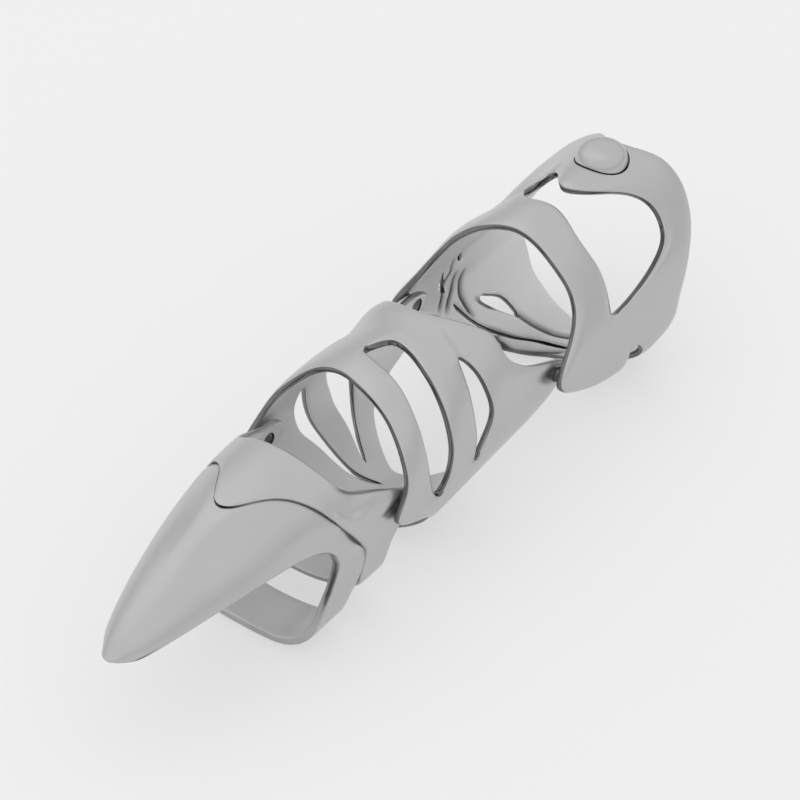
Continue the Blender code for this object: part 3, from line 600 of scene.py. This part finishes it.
# Columns: length, how far the left flank bulges there
baseLeftFlank = [
    (-3, -0.8), (-1, -0.55), (0, -0.45), (2, -0.1), (4, 0.25), (6, 0.4), (8, 0.8), (10, 0.85), (12, 0.6),
    (14, -0.2), (16, -1.3), (18, -1.4), (20, -0.4), (22, 0.4), (24, 0.65), (26, 0.7), (28, 0.55), (30, 0.47)]
baseColumns = [
    -178, -170, -161, -152, -145, -139, -134, -130, -126, -118, -112, -108, -104, -99, -94, -89, -84, -80,
    -76, -68, -58, -46, -34, -27, -23, -13, -4, 4, 14, 24, 36, 48, 60, 68, 76, 80, 85, 90, 97, 104, 110,
    114, 118, 124, 135, 148, 160, 170]
stoneLook = {
    "length": 23.4, "height": 11.0,                      # behind the knuckle datum, above the hinge line
    "radius": 3.08, "rise": 2.3, "girdle": 0.12, "girdleRound": 0.15, "sharp": 50,
    "seatRadius": 3.24, "seatFloor": -0.3, "seatTop": 6.0,
    "cup": (3.5, 3.9, 1.05), "cupDrop": -0.5,            # half sizes of the lens that closes the seat below
    "lip": 0.04, "lipRadius": 3.45, "lipReach": 0.6}
stonePlace = (0.0, knuckleY + stoneLook["length"], hingeHeight + stoneLook["height"])
baseLook = {
    "wall": 1.0, "taper": 0.05, "leftHollow": 0.55, "hingeSwell": 0.16,
    "flankAngle": -54, "flankWide": 24, "flankReach": 20,
    "roll": (0.18, 0.9),                                 # depth and reach of the bands' soft edges
    # foldShade: strength of the painted shade in the folds
    "strapFold": (0.32, 0.3), "wallFold": (0.35, 0.3), "foldShade": 3.0}
# Columns: height, angle, its reach, length, its reach
baseBulges = [(0.6, 122, 16, 17, 4), (0.35, 2, 17, stoneLook["length"], 4.2)]
baseHingeBulge = [(baseLook["hingeSwell"], 90, 9, 0.6, 2.5)]
flatStart = 158      # degrees from the top where the palm strip that lies on the floor begins
topRadius = 12.5     # outer radius at the stone
baseRadiusRows = through(baseRadius)
leftFlankAt = through(baseLeftFlank)


# Radius through the rows, averaged over some degrees so that the wall shows no flats between them
def baseRadiusAt(reach):
    steps = np.linspace(-9, 9, 7)
    shares = bell(steps, 5)
    return sum(share * baseRadiusRows(reach + step) for share, step in zip(shares, steps)) / shares.sum()


# Radius by angle, flat below, less towards the rear; plus the left flank and the bulges, less a hollow on top
def basePlace(angle, length):
    signed = np.where(angle > 180, angle - 360, angle)
    reach = np.abs(signed)
    flat = hingeHeight / -np.cos(np.radians(np.maximum(reach, 120)))
    radius = np.where(reach > flatStart, flat, baseRadiusAt(reach))
    radius = radius - baseLook["taper"] * np.maximum(0, length - 12) * ramp((112 - reach) / 24)
    radius = radius + leftFlankAt(length) * bell(signed - baseLook["flankAngle"], baseLook["flankWide"])
    radius = bulged(radius, signed, length, baseBulges)
    radius -= baseLook["leftHollow"] * bell(signed + 22, 26) * ramp((length - 15) / 6)
    return polarPoints(signed, length, radius, knuckleY)


# Columns: angle, length; folds between the tendon straps inside the palm wall
strapFolds = [
    [(-186, 17.1), (-171, 16.2), (-159, 16.1), (-150, 15.9), (-140, 14.6), (-134, 13.4), (-126, 12.5)],
    [(-189, 15.4), (-177, 14.6), (-166, 14.0), (-157, 13.0), (-148, 11.9), (-141, 10.7), (-131, 9.8),
     (-121, 9.3)],
    [(-189, 14.5), (-179, 13.2), (-170, 12.1), (-162, 11.3), (-155, 11.2), (-147, 11.5)],
    [(-192, 13.7), (-184, 12.9), (-174, 12.0), (-163, 10.7), (-155, 11.2)]]
# Folds that run down the left wall inside
wallFolds = [
    [(-119, 6.7), (-112, 8.0), (-105, 8.6), (-100, 9.9), (-93, 10.4)],
    [(-122, 7.6), (-117, 8.8), (-113, 9.7), (-104, 10.7)],
    [(-133, 10.7), (-121, 10.7), (-113, 11.3), (-107, 12.2)]]
# Columns: length, further lift of the left flank there
baseFlank = [
    (5, 0), (8, 0.34), (10, 0.36), (12, 0.17), (14, -0.23), (16, -0.8), (18, -0.87), (20, -0.46), (22, -0.15),
    (24, 0)]
baseFlankAt = through(baseFlank)
baseRowsAt = shellRows(baseFront, [(archSlotPlace, archSlotWidth), (eyePlace, eyeWidth)], baseRear)


# Lift and painted shade of the outside, of the inside, painted shade of the rims: soft band edges, the seat's
# lip and the left flank outside, the folds inside with painted shade in them, where a lift away from the axis
# cuts into the wall
def baseRelief(angle, length):
    cuts = creased(angle, length, strapFolds, *baseLook["strapFold"])
    cuts = cuts + creased(angle, length, wallFolds, *baseLook["wallFold"])
    away = np.hypot(np.radians(angle) * topRadius, length - stoneLook["length"])
    lip = stoneLook["lip"] * bell(away - stoneLook["lipRadius"], stoneLook["lipReach"])
    flank = baseFlankAt(length) * bell(angle - baseLook["flankAngle"], baseLook["flankReach"])
    flank = bulged(flank, np.abs(angle), length, baseHingeBulge)
    outer = rolled(angle, length, baseRowsAt, *baseLook["roll"]) + lip + flank
    return (outer, 0), (cuts + flank, baseLook["foldShade"] * cuts), 0


baseSheet = bandedSheet("base", baseColumns, baseRowsAt, basePlace, wallLook["coarse"])
half = np.linspace(-np.pi / 2, np.pi / 2, 25)
cup = newObject("cup", turnedMesh("cup", np.stack((np.cos(half), np.sin(half)), 1)), spare)
cup.data.transform(Matrix.Diagonal((*stoneLook["cup"], 1)))
seated(cup, (*stonePlace[:2], stonePlace[2] + stoneLook["cupDrop"]))
seatWide, seatLow, seatTop = [stoneLook[word] for word in ("seatRadius", "seatFloor", "seatTop")]
seatProfile = [(0, seatLow), (seatWide, seatLow), (seatWide, seatTop), (0, seatTop)]
seat = seated(newObject("seat", turnedMesh("seat", seatProfile), spare), stonePlace)
base = walled("base_shell_form", baseSheet, baseLook["wall"], knuckleY, baseRelief, silverRimPaintedReflection,
              [(cup, "UNION"), (joined([seat, bores("knuckle")]), "DIFFERENCE")])
give(base, "base", "satin_silver", "base_shell")
print("base shell", len(base.data.polygons))

# Stone: dome over a flat back with a small round at its girdle
# Dome's radius goes as the cosine of the turn, and its height as the sine, each to the power of two thirds
turn = np.linspace(0, np.pi / 2, 20)[1:-1]
domeRadius = stoneLook["radius"] * np.cos(turn) ** (2 / 3)
domeHeight = np.maximum(stoneLook["girdle"], stoneLook["rise"] * np.sin(turn) ** (2 / 3))
girdle = [(stoneLook["radius"] - stoneLook["girdleRound"], 0), (stoneLook["radius"], stoneLook["girdle"])]
stoneProfile = [(0, 0), *girdle, *zip(domeRadius, domeHeight), (0, stoneLook["rise"])]
stone = seated(newObject("cabochon_form", turnedMesh("cabochon", stoneProfile, 96)), stonePlace)
stone.data.materials.append(silverStone)
softened(stone, stoneLook["sharp"])
give(stone, "base", "polished_silver", "cabochon")
print("stone", len(stone.data.polygons))

# Nail plate: each section is an arc between two side edges; two straps run down to a pad band
# Columns: length from the fingertip hinge, half width, side edge height, crown height
nailSections = [
    (-39.3, 1.6, 0.75, 1.55), (-37.6, 2.5, 1.0, 2.8), (-35.0, 3.45, 1.5, 4.2), (-30.0, 5.05, 2.3, 6.3),
    (-25.0, 6.35, 2.9, 7.7), (-20.0, 7.5, 3.2, 8.7), (-15.0, 8.05, 3.2, 9.0), (-12.0, 8.3, 3.0, 8.9),
    (-8.0, 8.6, 2.6, 8.8)]
# Columns: angle, front, rear, radius
padSections = [
    (75, -11.2, -8.6, 8.95), (90, -10.8, -6.4, 9.25), (100, -11.5, -6.1, 9.45), (106, -12.2, -6.4, 9.75),
    (112, -12.9, -7.3, 10.1), (118, -13.6, -8.7, 10.65), (126, -14.5, -9.6, 11.6), (134, -15.1, -9.6, 12.4),
    (142, -15.5, -9.4, 12.7), (150, -15.7, -9.3, 12.65), (158, -15.8, -9.2, 12.5), (168, -15.8, -9.3, 12.06),
    (180, -15.8, -9.4, 11.8)]
nailSide = 75.0     # degrees from the crown to the nail plate's side edge
leftFlush = -66.0   # angle of the left lobe, where the collar lies lowest
clawLook = {
    "wall": 0.95, "flush": 0.84, "swellReach": 5.5, "strapSink": 0.35,
    # strapShade, pointLength and pointReach set the painted reflection at the strap's rim and the painted
    # shade at the point
    "strapShade": 2.08, "pointLength": -36.9, "pointReach": 1.6}
# Columns: height, angle, its reach, distance ahead of the seam, its reach
clawSwells = [(0.26, -53, 13, 0, 2), (0.35, -82, 12, 0.5, 3), (0.25, 68, 10, 0, 2)]
# Each by the length of its station: bow of the point, sink below the collar, sink at the left lobe, drop of
# the side edges, their reach to the rear
tipBow = {-39.3: 1.9, -37.6: 0.8}
nailSink = {-11.2: 0.2, -8.6: 0.45}
leftSink = {-15.6: 0.3, -11.2: 0.55, -8.6: 0.5}
sideDrop = {-15.6: 0.3, -11.2: 1.4, -8.6: 1.6}
sideReach = {-8.6: 1.0}
nailStations = np.array([-39.3, -37.6, -35.0, -30.0, -25.0, -20.0, -15.6, -11.2, -8.6])
nailTable = np.array(nailSections)
padTable = np.array(padSections)
nailWidthAt, nailEdgeAt, nailCrownAt = [through(nailTable[:, (0, column)]) for column in (1, 2, 3)]
padFrontAt, padRearAt, padRadiusAt = [through(padTable[:, (0, column)]) for column in (1, 2, 3)]


# Arc of the nail plate: x is half width times sine over the side's sine, z falls from the crown by the cosine
def nailArc(angle, length, extra):
    side = math.radians(nailSide)
    across = nailWidthAt(length) / math.sin(side) + extra
    tall = (nailCrownAt(length) - nailEdgeAt(length)) / (1 - math.cos(side))
    turned = np.radians(angle)
    return across * np.sin(turned), nailCrownAt(length) - tall + (tall + extra) * np.cos(turned)


# Column of a table's values at the stations, zero where it has none
def stationValues(table):
    return np.array([table.get(station, 0.0) for station in nailStations])[:, None]


# Nail plate as a grid of arcs over the stations, joined at both side edges to a band of polar points below
def clawSheet():
    across = np.linspace(-nailSide, nailSide, 11)[None, :]
    length = nailStations[:, None]
    sink = stationValues(nailSink) + stationValues(leftSink) * bell(across - leftFlush, 20)
    x, z = nailArc(across, length, -sink)
    z = z - stationValues(sideDrop) * ramp((np.abs(across) - 60) / 15)
    share = across / nailSide
    back = stationValues(tipBow) * share ** 2 + stationValues(sideReach) * share ** 6
    nail = points(x, fingertipY + length + back, hingeHeight + z)
    index = np.arange(nail.shape[0]).reshape(x.shape)
    right = np.array([90, 100, 106, 112, 118, 126, 134, 142, 150, 158, 168, 180], float)
    angle = np.concatenate((right, -right[-2::-1]))[:, None]
    reach = np.abs(angle)
    radius = padRadiusAt(reach) - np.array([0, 1]) * clawLook["strapSink"] * bell(reach - 95, 16)
    length = np.concatenate((padFrontAt(reach), padRearAt(reach)), 1)
    band = polarPoints(angle, length, radius, fingertipY)
    strap = np.arange(band.shape[0]).reshape(length.shape) + len(nail)
    strap = np.vstack((index[-2:, -1], strap, index[-2:, 0]))
    faces = np.vstack((gridFaces(index, False), gridFaces(strap, False)[:, ::-1]))
    return smoothed("claw", np.vstack((nail, band)), faces, wallLook["coarse"])


# Collar plate: a saddle over the nail plate's root with two hinge ears and a strap below
# Columns of the edges: angle, length behind the fingertip hinge; of the side: degrees from the top, radius
collarFront = [
    (-180, -7.3), (-165, -7.3), (-145, -7.2), (-128, -7.4), (-118, -8.0), (-112, -7.9), (-106, -7.3),
    (-99, -7.2), (-86, -8.6), (-73, -10.8), (-65, -12.3), (-57, -12.9), (-50, -12.8), (-43, -12.6),
    (-31, -13.6), (-22, -15.3), (-15, -17.4), (-8, -19.2), (0, -19.9), (8, -19.2), (15, -17.4), (22, -15.3),
    (31, -13.5), (43, -12.1), (57, -10.8), (73, -9.0), (86, -7.7), (99, -6.7), (106, -7.1), (112, -7.9),
    (118, -8.0), (128, -7.4), (145, -7.2), (165, -7.3), (180, -7.3)]
collarRearRight = [
    (0, -8.6), (15, -8.6), (31, -8.4), (43, -7.8), (50, -7.1), (57, -5.3), (65, -2.6), (73, -0.2),
    (80, 1.9), (86, 2.8), (90, 3.0), (95, 2.6), (101, 0.8), (106, -1.2), (112, -3.2), (118, -3.8),
    (128, -3.8), (145, -3.4), (165, -3.1), (180, -3.0)]
collarRear = [(-angle, length) for angle, length in collarRearRight[1:]] + collarRearRight
collarSide = [
    (57, 9.5), (65, 9.65), (73, 9.95), (86, 10.3), (99, 10.4), (108, 10.7), (116, 11.4), (122, 11.6),
    (130, 11.25), (145, 10.4), (160, 9.75), (180, 9.4)]
collarColumns = [
    0, 8, 15, 22, 31, 43, 50, 57, 65, 73, 80, 86, 90, 95, 101, 106, 112, 118, 128, 145, 162, 180,
    198, 215, 232, 242, 248, 254, 259, 265, 270, 274, 280, 287, 295, 303, 310, 317, 329, 338, 345, 352]
collarLook = {
    "wall": 0.8, "step": 1.05, "flush": 0.75, "earFace": 9.5,
    # rearShade: strength of the painted dark reflection along the rear edge
    "ridge": 0.34, "dip": 0.26, "tuck": 0.45, "roll": (0.12, 0.5), "taper": 0.57, "rearShade": 0.8}
collarFrontAt = through(collarFront)
collarRearAt = through(collarRear)
collarSideAt = through(collarSide)


# Saddle: nail plate's arc raised by a step on top, blending to a round wall at the sides, pinched at the ears
def collarPlace(angle, length):
    reach = np.abs(angle)
    flush = collarLook["flush"] * bell(angle - leftFlush, 16) * np.clip((-8 - length) / 4, 0.4, 1)
    overX, overZ = nailArc(np.minimum(reach, nailSide), np.minimum(length, -9), collarLook["step"] - flush)
    radius = collarSideAt(reach) - flush - 0.09 * np.maximum(0, length + 9) * bell(reach - 62, 14)
    turned = np.radians(reach)
    blend = ramp((reach - 50) / 25)
    blend = blend * blend * (3 - 2 * blend)
    x = overX + (radius * np.sin(turned) - overX) * blend
    z = overZ + (radius * np.cos(turned) - overZ) * blend
    ear = ramp((length + 6) / 3.5) * bell(np.maximum(0, reach - 95), 40)
    x = np.where(reach > 57, np.minimum(x, collarLook["earFace"] + 2 * (1 - ear)), x)
    return points(np.copysign(x, angle), fingertipY + length, hingeHeight + z)


# Three rows of collar places round the finger: front edge, half way, rear edge
def collarSheet():
    columns = np.array(collarColumns, float)
    columns = np.where(columns > 180, columns - 360, columns)
    front = collarFrontAt(columns)
    rear = collarRearAt(columns)
    lengths = np.stack((front, (front + rear) / 2, rear), 1)
    verts = collarPlace(np.repeat(columns[:, None], 3, 1), lengths)
    faces = gridFaces(np.arange(lengths.size).reshape(lengths.shape), True)
    return smoothed("collar", verts, faces, wallLook["coarse"])


# Columns: length, angle; the raised ridge from the seam towards the hinge
collarRidge = [(-9.7, 60), (-8.6, 66), (-7.3, 70), (-5.4, 71), (-3.2, 71), (-1.0, 72)]
ridgeAt = through(collarRidge)
# Where the collar's front edge runs over the nail plate: angle and length as seen from the hinge line
edgeAngles = np.arange(-179.0, 180.0, 2.0)
edgeSeen = polarOf(collarPlace(edgeAngles, collarFrontAt(edgeAngles)), fingertipY)
seamAt = through(np.stack(edgeSeen[:2], 1))


# Ridge on the right, dip before it, left side tucked in, all bells; inside, the wall thins towards the seam;
# along the rear edge on the right a painted dark line, painted reflection
def collarRelief(angle, length):
    behind = length - seamAt(angle)
    ridge = collarLook["ridge"] * bell((angle - ridgeAt(length)) * earArc, 0.75) * ramp((length + 11.2) / 2)
    ridge *= ramp((-3.0 - length) / 4)
    dip = collarLook["dip"] * bell(angle - 50, 12) * bell(length + 9.5, 3) * ramp((behind - 0.4) / 1.4)
    tuck = collarLook["tuck"] * bell(angle + 84, 14) * ramp((-7.5 - length) / 2)
    outer = ridge - dip - tuck + rolled(angle, length, [seamAt], *collarLook["roll"])
    # Painted reflection: dark line along the collar's rear edge, outside and inside
    rear = bell(length - collarRearAt(angle), 0.35) * bell(np.maximum(0, np.abs(angle - 57) - 9), 5)
    taper = collarLook["taper"] * bell(behind, 1.2) * ramp((100 - np.abs(angle)) / 15)
    return (outer, collarLook["rearShade"] * rear), (taper - 0.6 * tuck, rear), 0


# Nail plate's swell up to the seam, so that the collar lies almost flush with it: it rises within a millimetre
# under the collar's edge and falls as a bell ahead of it, plus the swells; painted reflection at the strap's
# rim and painted shade at the point's lower edge
def clawRelief(angle, length):
    ahead = seamAt(angle) - length
    rise = ramp((ahead + 1.15) / 0.95)
    rise = rise * rise * (3 - 2 * rise)
    swell = clawLook["flush"] * rise * bell(np.maximum(0, ahead), clawLook["swellReach"])
    swell = swell * ramp((135 - np.abs(angle)) / 25)
    swell = bulged(swell, angle, ahead, clawSwells)
    # Painted reflection: dark streak along the strap's front rim
    strap = bell(length - padFrontAt(angle) - 0.15, 0.4) * bell(np.maximum(0, np.abs(angle - 102) - 9), 6)
    edge = np.degrees(np.arctan2(nailWidthAt(length), nailEdgeAt(length)))
    # Painted shade: dark line along the point's lower edge
    point = ramp((angle - edge + 7) / 5) * bell(length - clawLook["pointLength"], clawLook["pointReach"])
    return (swell, point), (0.6 * swell, point), clawLook["strapShade"] * strap


claw = walled("claw_form", clawSheet(), clawLook["wall"], fingertipY, clawRelief, silverEdgePaintedReflection)
give(claw, "tip", "satin_silver", "claw")
print("claw", len(claw.data.polygons))
collar = walled("collar_form", collarSheet(), collarLook["wall"], fingertipY, collarRelief, silverEdgePaintedReflection,
                [(bores("fingertip"), "DIFFERENCE")])
give(collar, "tip", "satin_silver", "tip_collar")
print("collar", len(collar.data.polygons))

# Hinge pins: short bars with rounded ends, each end in four rows
endSteps = pinLook["round"] * np.array([0.0, 0.3, 0.7, 1.0])
endRadii = pinLook["radius"] - pinLook["round"] * np.array([1.0, 0.35, 0.07, 0.0])
for hinge, (start, end, originY) in pinEnds.items():
    for side, word in ((1, "right"), (-1, "left")):
        low, high = sorted((side * start, side * end))
        ends = [*zip(endRadii, low + endSteps), *zip(endRadii[::-1], high - endSteps[::-1])]
        profile = [(0, low), *ends, (0, high)]
        pin = newObject(hinge + "_pin_form_" + word, turnedMesh("pin", profile, pinLook["sides"]))
        seated(pin, (0, originY, hingeHeight), True)
        softened(pin)
        pin.data.materials.append(silverPinPaintedShade)
        give(pin, "base" if hinge == "knuckle" else "middle", "pin_silver", hinge + "_pin_" + word)
print("pins")

# Floor: matt paper that glows a little, so that it stays pale and even
floorLook = {"grey": 0.43, "rough": 0.75, "specular": 0.1, "half": 3.0, "glow": 0.47}   # half size in metres
floorCorners = np.array([(-1, -1, 0), (1, -1, 0), (1, 1, 0), (-1, 1, 0)]) * floorLook["half"]
floor = newObject("floor", newMesh("floor", floorCorners, np.array([(0, 1, 2, 3)])))
paper = bpy.data.materials.new("floor_paper")
paper.use_nodes = True
paperShader = paper.node_tree.nodes["Principled BSDF"]
paperShader.inputs["Base Color"].default_value = (floorLook["grey"],) * 3 + (1.0,)
paperShader.inputs["Roughness"].default_value = floorLook["rough"]
paperShader.inputs["Specular IOR Level"].default_value = floorLook["specular"]
paperShader.inputs["Emission Color"].default_value = (1.0, 1.0, 1.0, 1.0)
paperShader.inputs["Emission Strength"].default_value = floorLook["glow"]
floor.data.materials.append(paper)

# Soft box all round: light above, a little darker towards the horizon
worldLook = {"top": 0.93, "horizon": 0.72, "fullHeight": 0.6}
world = bpy.data.worlds.new("studio")
world.use_nodes = True
backdrop = world.node_tree.nodes["Background"]
around = world.node_tree.nodes.new("ShaderNodeTexCoord")
height = world.node_tree.nodes.new("ShaderNodeSeparateXYZ")
shade = world.node_tree.nodes.new("ShaderNodeMapRange")
shade.interpolation_type = "SMOOTHSTEP"
shade.inputs["From Min"].default_value = 0.0
shade.inputs["From Max"].default_value = worldLook["fullHeight"]
shade.inputs["To Min"].default_value = worldLook["horizon"]
shade.inputs["To Max"].default_value = worldLook["top"]
world.node_tree.links.new(around.outputs["Generated"], height.inputs["Vector"])
world.node_tree.links.new(height.outputs["Z"], shade.inputs["Value"])
world.node_tree.links.new(shade.outputs["Result"], backdrop.inputs["Color"])
scene.world = world

# One large soft lamp over the left, turned to the ring
keyLamp = {"place": (-0.3, 0.1, 0.6), "size": 0.6, "watts": 0.12}
lampData = bpy.data.lights.new("key", "AREA")
lampData.size = keyLamp["size"]
lampData.energy = keyLamp["watts"]
lamp = newObject("key", lampData)
aim = (-Vector(keyLamp["place"])).to_track_quat("-Z", "Y").to_matrix().to_4x4()
lamp.matrix_world = Matrix.Translation(keyLamp["place"]) @ aim

# Camera: looks down at the ring from its front right, far off with a long lens
cameraLook = {"azimuth": 37.0, "elevation": 41.6, "place": (0.2702, -0.35522, 0.41216),
              "lens": 241.65, "sensor": 36.0}
azimuth = math.radians(cameraLook["azimuth"])
elevation = math.radians(cameraLook["elevation"])
cameraData = bpy.data.cameras.new("camera")
cameraData.sensor_width = cameraLook["sensor"]
cameraData.lens = cameraLook["lens"]
cameraData.clip_start = 0.05
cameraData.clip_end = 20.0
camera = newObject("camera", cameraData)
cameraTurn = Matrix.Rotation(azimuth, 4, "Z") @ Matrix.Rotation(math.pi / 2 - elevation, 4, "X")
camera.matrix_world = Matrix.Translation(cameraLook["place"]) @ cameraTurn
scene.camera = camera
scene.view_settings.view_transform = "Standard"
bpy.data.collections.remove(spare)
